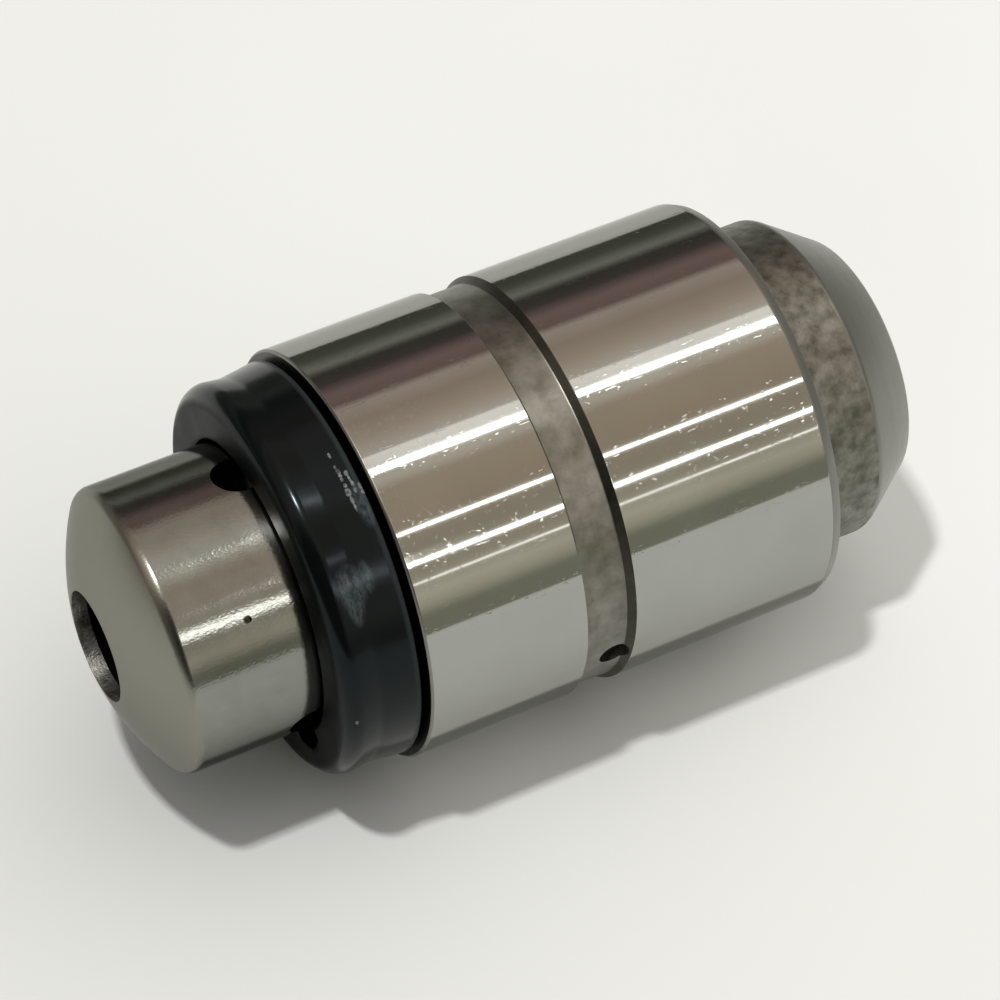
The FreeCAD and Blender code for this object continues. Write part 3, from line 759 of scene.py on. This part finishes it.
black_oxide, tree, place = new_material("oiled_black_oxide_steel")
height = add(tree, "ShaderNodeSeparateXYZ", {0: place}).outputs["Z"]
rim = add(tree, "ShaderNodeMapRange", {"Value": height, "From Min": RIM_MATT_AND_SHEEN_TOP * MILLIMETRE,
                                       "From Max": (RIM_MATT_AND_SHEEN_TOP - RIM_SOFTNESS) * MILLIMETRE})
flat_face = add(tree, "ShaderNodeMapRange", {"Value": height,
                                             "From Min": (CAP_TOP - FACE_DEPTH[0]) * MILLIMETRE,
                                             "From Max": (CAP_TOP - FACE_DEPTH[1]) * MILLIMETRE})
dent_grain = pattern(tree, place, DENT_GRAIN)
ragged = add(tree, "ShaderNodeMath", {0: patches(tree, place, DENTS), 1: dent_grain}, operation="MULTIPLY")
dents = add(tree, "ShaderNodeMapRange", {"Value": ragged, "From Min": 0.25, "From Max": 0.65})
streaks = pattern(tree, place, HAZE_AND_REFLECTION_GRAIN, HAZE_AND_REFLECTION_STRETCH, detail=4.0, roughness=0.7, between=(0.4, 0.72))
streaked = add(tree, "ShaderNodeMapRange", {"Value": streaks, "To Min": 0.15, "To Max": 1.0})
# The haze is partly rubbing and partly a painted reflection of the tube rows.
haze_and_reflections = add(tree, "ShaderNodeMath", {0: patches(tree, place, HAZE_AND_REFLECTIONS), 1: streaked}, operation="MULTIPLY")
black_patch = patches(tree, place, BLACK_PATCHES)

# Painted sheen: the rim is painted lighter where a line of light runs along its edge.
rim_painted_sheen = add(tree, "ShaderNodeMix", {0: rim, 6: linear("#0a0d0d"), 7: linear("#2a2f2f")},
               data_type="RGBA")
with_haze_and_reflections = add(tree, "ShaderNodeMix", {0: haze_and_reflections, 6: rim_painted_sheen, 7: linear("#50585a")}, data_type="RGBA")
with_dents = add(tree, "ShaderNodeMix", {0: dents, 6: with_haze_and_reflections, 7: linear("#858987")}, data_type="RGBA")
colour = add(tree, "ShaderNodeMix", {0: black_patch, 6: with_dents, 7: linear("#020202")}, data_type="RGBA")

dull_rim = add(tree, "ShaderNodeMath", {0: rim, 1: RIM_DULLING}, operation="MULTIPLY")
dull_face = add(tree, "ShaderNodeMath", {0: flat_face, 1: FACE_DULLING}, operation="MULTIPLY")
dull_places = add(tree, "ShaderNodeMath", {0: dull_rim, 1: dull_face}, operation="MAXIMUM")
dulled = add(tree, "ShaderNodeMath", {0: black_patch, 1: dull_places}, operation="MAXIMUM")
specular = add(tree, "ShaderNodeMapRange", {"Value": dulled, "To Min": OXIDE_SPECULAR, "To Max": 0.0})
rim_or_face = add(tree, "ShaderNodeMath", {0: rim, 1: flat_face}, operation="MAXIMUM")
cloud = pattern(tree, place, OXIDE_CLOUD, detail=3.0, between=MIDDLE_GREYS)
polish = add(tree, "ShaderNodeMapRange", {"Value": cloud, "To Min": 0.13, "To Max": 0.2})
roughness = add(tree, "ShaderNodeMath", {0: rim_or_face, 1: MATT_ROUGHNESS, 2: polish},
                operation="MULTIPLY_ADD")
waves = pattern(tree, place, OXIDE_WAVE)
shader = add(tree, "ShaderNodeBsdfPrincipled", {
    "Base Color": colour, "Metallic": 0.0, "Roughness": roughness, "Specular IOR Level": specular,
    "Specular Tint": linear(COOL_SHEEN), "Normal": relief(tree, [(waves, 0.25, 0.01), (dents, 0.3, 0.01)])})
add(tree, "ShaderNodeOutputMaterial", {"Surface": shader})

# %% [markdown]
# ## The cap
#
# Pressing leaves one sheet thickness everywhere: a lip turned in close round the plunger, a flat face, a
# round shoulder, a slight waist, and a rim that flares again just short of the body.  The rim reaches
# 0.04 mm lower than in the solid, for the same narrow gap.

# %% Cap
SHEET = 0.55
CAP_HOLE_RADIUS = 6.0
CAP_LIP_FOOT = 25.9
CAP_LIP_ROUNDING = 0.22
CAP_SHOULDER_RADIUS = 8.1
CAP_SHOULDER_ROUNDING = 0.8
CAP_WAIST_RADIUS = 8.0
CAP_WAIST_HEIGHT = 25.2
CAP_RIM_RADIUS = 8.2
CAP_RIM_HEIGHT = 23.62

cap_section = Section(CAP_HOLE_RADIUS, CAP_LIP_FOOT, 0.06)
cap_section.line(CAP_HOLE_RADIUS + SHEET, CAP_LIP_FOOT, 0.06)
cap_section.line(CAP_HOLE_RADIUS + SHEET, CAP_TOP - SHEET, 0.05)
cap_section.line(CAP_SHOULDER_RADIUS - SHEET, CAP_TOP - SHEET, 0.25)
cap_section.line(CAP_WAIST_RADIUS - SHEET, CAP_WAIST_HEIGHT, 0.2)
cap_section.line(CAP_RIM_RADIUS - SHEET, CAP_RIM_HEIGHT, 0.08)
cap_section.line(CAP_RIM_RADIUS, CAP_RIM_HEIGHT, 0.1)
cap_section.line(CAP_WAIST_RADIUS, CAP_WAIST_HEIGHT, 0.12)
cap_section.line(CAP_SHOULDER_RADIUS, CAP_TOP - CAP_SHOULDER_ROUNDING)
cap_section.arc(CAP_SHOULDER_RADIUS - CAP_SHOULDER_ROUNDING, CAP_TOP - CAP_SHOULDER_ROUNDING, -90, 12)
cap_section.line(CAP_HOLE_RADIUS + CAP_LIP_ROUNDING, CAP_TOP)
cap_section.arc(CAP_HOLE_RADIUS + CAP_LIP_ROUNDING, CAP_TOP - CAP_LIP_ROUNDING, -90, 8)
cap_section.close()
cap = cap_section.turn("cap")
paint(cap, lambda radius, height, outward: "black", {"black": black_oxide})
weigh_normals(cap)
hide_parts("retaining_cap")
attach(cap, "housing")

# %% [markdown]
# ## The plunger's finishes
#
# The plunger's side is ground too, but less finely than the body: its one bright line breaks up at the
# edges.  Its domed crown is lapped, an even soft grey, and the one finish runs into the other over the
# rounded edge, so both are one material that changes with the height.  A small pit lies in the bright
# line, dented in relief and painted dark as painted shade in its hollow.

# %% Plunger steel
PLUNGER_RADIUS = 5.9
LAPPED_FROM = 31.68
LAPPED_FULLY = 31.95
LAPPED_ROUGHNESS = 0.34
PLUNGER_CLOUD = 1.6
PLUNGER_WAVE = 0.1
WAVE_STRETCH = (1, 1, 1.4)
PIT_AZIMUTH = -5.3
PIT_HEIGHT = 29.04
PIT_RADIUS = 0.17

plunger_steel, tree, place = new_material("ground_plunger_steel")
height = add(tree, "ShaderNodeSeparateXYZ", {0: place}).outputs["Z"]
lapped = add(tree, "ShaderNodeMapRange", {"Value": height, "From Min": LAPPED_FROM * MILLIMETRE,
                                          "From Max": LAPPED_FULLY * MILLIMETRE})
cloud = pattern(tree, place, PLUNGER_CLOUD, detail=4.0, roughness=0.6, between=MIDDLE_GREYS)
# Painted shade: the pit is painted dark for the shade in its hollow.
shaded_pit = patch(tree, place, PIT_AZIMUTH, PLUNGER_RADIUS, PIT_HEIGHT, PIT_RADIUS, PIT_RADIUS)
ground_colour = add(tree, "ShaderNodeMix", {0: cloud, 6: linear("#83847e"), 7: linear("#8e908b")},
                    data_type="RGBA")
with_lapped = add(tree, "ShaderNodeMix", {0: lapped, 6: ground_colour, 7: linear("#8e8d83")},
                  data_type="RGBA")
colour = add(tree, "ShaderNodeMix", {0: shaded_pit, 6: with_lapped, 7: linear("#2a2923")}, data_type="RGBA")
slanting = add(tree, "ShaderNodeMix", {0: lapped, 6: linear("#adadab"), 7: linear("#d6d6d6")},
               data_type="RGBA")
ground_roughness = add(tree, "ShaderNodeMapRange", {"Value": cloud, "To Min": 0.1, "To Max": 0.14})
roughness = add(tree, "ShaderNodeMix", {0: lapped, 2: ground_roughness, 3: LAPPED_ROUGHNESS})
waves = pattern(tree, place, PLUNGER_WAVE, WAVE_STRETCH, detail=3.0)
hollow = add(tree, "ShaderNodeMath", {0: 1.0, 1: shaded_pit}, operation="SUBTRACT")
shader = add(tree, "ShaderNodeBsdfPrincipled", {
    "Base Color": colour, "Metallic": 1.0, "Roughness": roughness, "Specular Tint": slanting,
    "Normal": relief(tree, [(waves, 0.5, 0.008), (hollow, 0.6, 0.05)])})
add(tree, "ShaderNodeOutputMaterial", {"Surface": shader})

# %% [markdown]
# ## The plunger head
#
# The section runs up the outside: the collar that the cap holds back, the slim neck, the rounded edge, the
# dome, and back down inside through the hole in the crown and the oil space.  The rounded edge and the
# dome are arcs that meet on one tangent, each drawn by swinging the point about its own centre.  Two
# rings lie just above and below the oil holes, so that the holes disturb only the faces near them.  The
# hole in the crown keeps its drill marks.

# %% Plunger head
DOME_RADIUS = 10.3
DOME_CENTRE = 23.5
DOME_EDGE_ROUNDING = 0.6
CROWN_WALL = 1.05
CROWN_HOLE_RADIUS = 2.28
CROWN_HOLE_CHAMFER = 0.4
ROOF_RADIUS = 3.1
ROOF_CONE_HEIGHT = 2.0
RESERVOIR_RADIUS = 4.3
COLLAR_RADIUS = 6.58
COLLAR_FOOT = 19.6
COLLAR_TOP = 25.9
COLLAR_CHAMFER = 0.2
OIL_HOLE_RADIUS = 1.0
OIL_HOLE_HEIGHT = 26.95
OIL_HOLE_AZIMUTHS = [51.4, 171.4, 291.4]
RING_ABOVE_HOLES = 0.05
PLUNGER_DRILL_REACH = 7.0

edge_radius = PLUNGER_RADIUS - DOME_EDGE_ROUNDING
edge_angle = math.degrees(math.asin(edge_radius / (DOME_RADIUS - DOME_EDGE_ROUNDING)))
edge_height = DOME_CENTRE + edge_radius / math.tan(math.radians(edge_angle))
hole_rim_angle = math.degrees(math.asin(CROWN_HOLE_RADIUS / DOME_RADIUS))
roof_height = DOME_CENTRE + DOME_RADIUS * math.cos(math.radians(hole_rim_angle)) - CROWN_WALL

head_section = Section(RESERVOIR_RADIUS, COLLAR_FOOT, EDGE)
head_section.line(COLLAR_RADIUS - COLLAR_CHAMFER, COLLAR_FOOT, EDGE)
head_section.line(COLLAR_RADIUS, COLLAR_FOOT + COLLAR_CHAMFER, EDGE)
head_section.line(COLLAR_RADIUS, COLLAR_TOP - COLLAR_CHAMFER, EDGE)
head_section.line(COLLAR_RADIUS - COLLAR_CHAMFER, COLLAR_TOP, EDGE)
head_section.line(PLUNGER_RADIUS, COLLAR_TOP)
head_section.line(PLUNGER_RADIUS, OIL_HOLE_HEIGHT + OIL_HOLE_RADIUS + RING_ABOVE_HOLES)
head_section.line(PLUNGER_RADIUS, edge_height)
head_section.arc(edge_radius, edge_height, edge_angle - 90, 8)
head_section.arc(0, DOME_CENTRE, hole_rim_angle - edge_angle, 10, 0.05)
head_section.line(CROWN_HOLE_RADIUS, roof_height + CROWN_HOLE_CHAMFER)
head_section.line(CROWN_HOLE_RADIUS + CROWN_HOLE_CHAMFER, roof_height)
head_section.line(ROOF_RADIUS, roof_height, 0.05)
head_section.line(RESERVOIR_RADIUS, roof_height - ROOF_CONE_HEIGHT, 0.2)
head_section.close()
plunger = head_section.turn("plunger")
drill(plunger, OIL_HOLE_RADIUS, OIL_HOLE_HEIGHT, OIL_HOLE_AZIMUTHS, PLUNGER_DRILL_REACH)

# %% Finishes of the plunger
MOSTLY_OUT = 0.7


def plunger_finish(radius, height, outward):
    """Which finish a face of the plunger has."""
    if radius > CROWN_HOLE_RADIUS + BARELY and height > edge_height - MARGIN:
        return "ground"
    if radius > PLUNGER_RADIUS - SLIGHTLY and outward > MOSTLY_OUT:
        return "ground"
    if radius < CROWN_HOLE_RADIUS + CROWN_HOLE_CHAMFER + SLIGHTLY and height > roof_height - SLIGHTLY:
        return "bored"
    return "hole"


# The oil holes and the oil space inside are painted dark: painted shade.
paint(plunger, plunger_finish, {"ground": plunger_steel, "bored": bored_steel, "hole": hole_shade_steel})
weigh_normals(plunger)
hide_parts("plunger_head")
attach(plunger, "head")

# %% [markdown]
# ## The springs
#
# Two springs are sealed in the cup: the large one pushes the plunger out, and the tiny one holds the check
# ball on its seat.  Each is a ring of vertices swept along a screw line, by a spin that also climbs, with
# its ends cut flat like ground spring ends.  Each gets a mesh of its own.

# %% Springs
WIRE_SIDES = 16
STEPS_A_TURN = 48
GROUND_SHARE = 0.175
SPRING_CLOUD = 1.5
WIRE_GRAIN = 0.08

spring_steel = dull_steel("drawn_spring_steel", "#8a8a88", "#a2a2a0", 0.28, SPRING_CLOUD, WIRE_GRAIN, 0.002)


def make_spring(name, wire, coil_radius, foot, top, turns):
    """A compression spring between two heights, in millimetres."""
    inset = wire * GROUND_SHARE
    rise = top - foot - 2 * inset
    steps = turns * STEPS_A_TURN
    mesh = bmesh.new()
    upright_ring = Matrix.Translation((coil_radius, 0, foot + inset)) @ Matrix.Rotation(math.pi / 2, 4, "X")
    bmesh.ops.create_circle(mesh, segments=WIRE_SIDES, radius=wire / 2, matrix=upright_ring)
    bmesh.ops.spin(mesh, geom=mesh.edges[:], cent=(0, 0, 0), axis=(0, 0, 1), dvec=(0, 0, rise / steps),
                   angle=2 * math.pi * turns, steps=steps)
    for height, way in ((foot, -1), (top, 1)):
        bmesh.ops.bisect_plane(mesh, geom=mesh.verts[:] + mesh.edges[:] + mesh.faces[:], dist=1e-6,
                               plane_co=(0, 0, height), plane_no=(0, 0, way), clear_outer=True)
    bmesh.ops.holes_fill(mesh, edges=[edge for edge in mesh.edges if edge.is_boundary])
    bmesh.ops.remove_doubles(mesh, verts=mesh.verts, dist=1e-5)
    bmesh.ops.recalc_face_normals(mesh, faces=mesh.faces)
    bmesh.ops.scale(mesh, vec=(MILLIMETRE,) * 3, verts=mesh.verts)
    spring = finished(name, mesh)
    spring.data.materials.append(spring_steel)
    return spring


# %% Return spring and valve spring
RETURN_SPRING_WIRE = 0.7
RETURN_SPRING_RADIUS = 4.2
RETURN_SPRING_TURNS = 4
RETURN_SPRING_FOOT = BORE_FLOOR
RETURN_SPRING_TOP = 12.8
VALVE_SPRING_WIRE = 0.15
VALVE_SPRING_RADIUS = 0.85
VALVE_SPRING_TURNS = 3
VALVE_SPRING_FOOT = 10.179
VALVE_SPRING_TOP = 11.085

return_coil = make_spring("return_coil", RETURN_SPRING_WIRE, RETURN_SPRING_RADIUS, RETURN_SPRING_FOOT,
                          RETURN_SPRING_TOP, RETURN_SPRING_TURNS)
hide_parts("return_spring")
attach(return_coil, "housing")
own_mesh(return_coil)

valve_coil = make_spring("valve_coil", VALVE_SPRING_WIRE, VALVE_SPRING_RADIUS, VALVE_SPRING_FOOT,
                         VALVE_SPRING_TOP, VALVE_SPRING_TURNS)
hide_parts("valve_spring")
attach(valve_coil, "plunger")
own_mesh(valve_coil)

# %% [markdown]
# ## The pieces inside
#
# The barrel, the valve cage and the check ball keep their solids, which are already the right shape.  They
# only get their finishes: the barrel is ground like the plunger, the cage is plain pressed sheet, and the
# ball is polished.

# %% Inner pieces
SHEET_CLOUD = 1.2
SHEET_GRAIN = 0.1
BALL_BLOOM = 0.8

sheet_steel = dull_steel("pressed_sheet_steel", "#93938f", "#a5a5a1", 0.33, SHEET_CLOUD, SHEET_GRAIN, 0.003)
ball_steel, tree, place = new_material("polished_ball_steel")
bloom = pattern(tree, place, BALL_BLOOM)
colour = add(tree, "ShaderNodeMix", {0: bloom, 6: linear("#bcbcbe"), 7: linear("#c8c8c9")},
             data_type="RGBA")
roughness = add(tree, "ShaderNodeMapRange", {"Value": bloom, "From Min": 0.3, "From Max": 0.7,
                                             "To Min": 0.04, "To Max": 0.07})
shader = add(tree, "ShaderNodeBsdfPrincipled", {"Base Color": colour, "Metallic": 1.0,
                                                "Roughness": roughness,
                                                "Specular Tint": linear(SLANTING_REFLECTION)})
add(tree, "ShaderNodeOutputMaterial", {"Surface": shader})

for node, material in (("plunger_barrel", plunger_steel), ("valve_cage", sheet_steel),
                       ("check_ball", ball_steel)):
    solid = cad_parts[node]
    solid.data.materials.clear()
    solid.data.materials.append(material)
    print(f"{node}: {material.name}")
